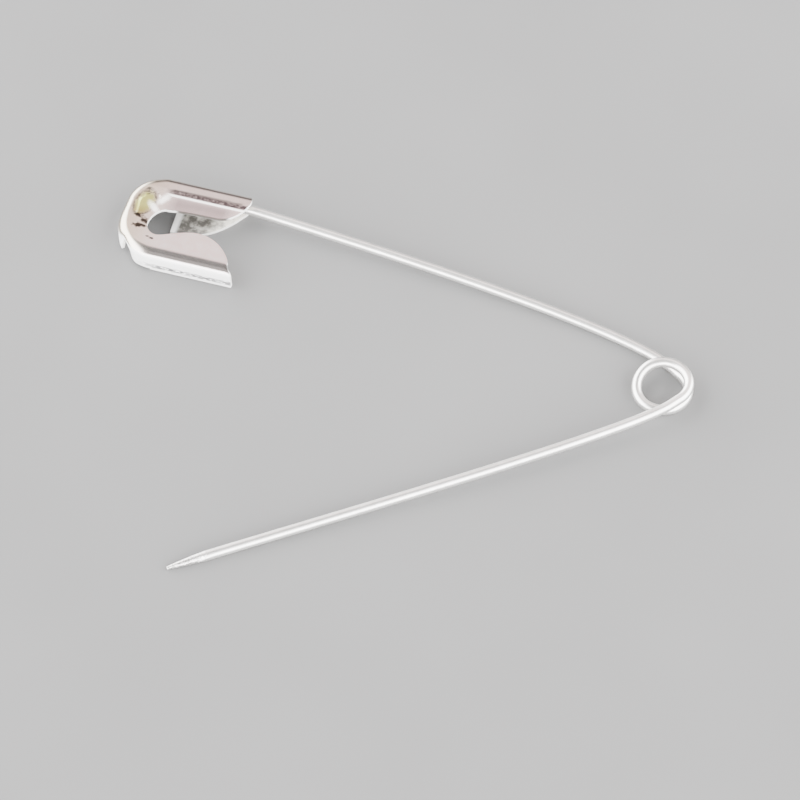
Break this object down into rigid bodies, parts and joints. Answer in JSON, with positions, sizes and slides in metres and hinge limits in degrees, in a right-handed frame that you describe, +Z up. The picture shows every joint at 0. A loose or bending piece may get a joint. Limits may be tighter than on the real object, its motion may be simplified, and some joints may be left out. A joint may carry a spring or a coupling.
{
  "type": "safety pin",
  "caption": "Open coil-spring safety pin lying on its side, with bowed legs and a folded sheet-metal cap that shields the closed point.",
  "frame": {"origin": "bottom centre of the open pin's bounding box, on the surface that it lies on", "axes": "+X along the cap's middle line, from the cap towards the coil; +Y from the open front leg towards the back leg; +Z up, out of the cap's face"},
  "size_m": [0.055, 0.0402, 0.0024],
  "materials": {
    "plated_cap": "bright nickel plating on folded sheet steel, with soft press marks",
    "plated_wire": "bright nickel plating on drawn spring-steel wire"
  },
  "bodies": {
    "held_side": {"cap": "plated_cap", "back_leg": "plated_wire", "spring_coil": "plated_wire"},
    "leg_root": {"front_leg_root": "plated_wire"},
    "leg_bend": {"front_leg_bend": "plated_wire"},
    "leg": {"front_leg": "plated_wire"}
  },
  "joints": [
    {"name": "coil_wind", "type": "hinge", "parent": "held_side", "child": "leg_root", "pos_m": [0.02482, 0.01054, 0.00111], "axis": [0, -0.0237, 0.9997], "range_deg": [-39.5, 12], "stiffness_Nm_per_rad": 0.335, "deforming": ["spring_coil"]},
    {"name": "tuck", "type": "hinge", "parent": "leg_root", "child": "leg_bend", "pos_m": [0.02385, 0.00611, 0.00168], "axis": [0, -0.0237, 0.9997], "range_deg": [-7.4, 0], "stiffness_Nm_per_rad": 0.3},
    {"name": "lift", "type": "hinge", "parent": "leg_bend", "child": "leg", "pos_m": [0.0214, 0.00405, 0.00158], "axis": [-0.593, 0.8052, 0], "range_deg": [0, 5], "stiffness_Nm_per_rad": 0.3}
  ]
}
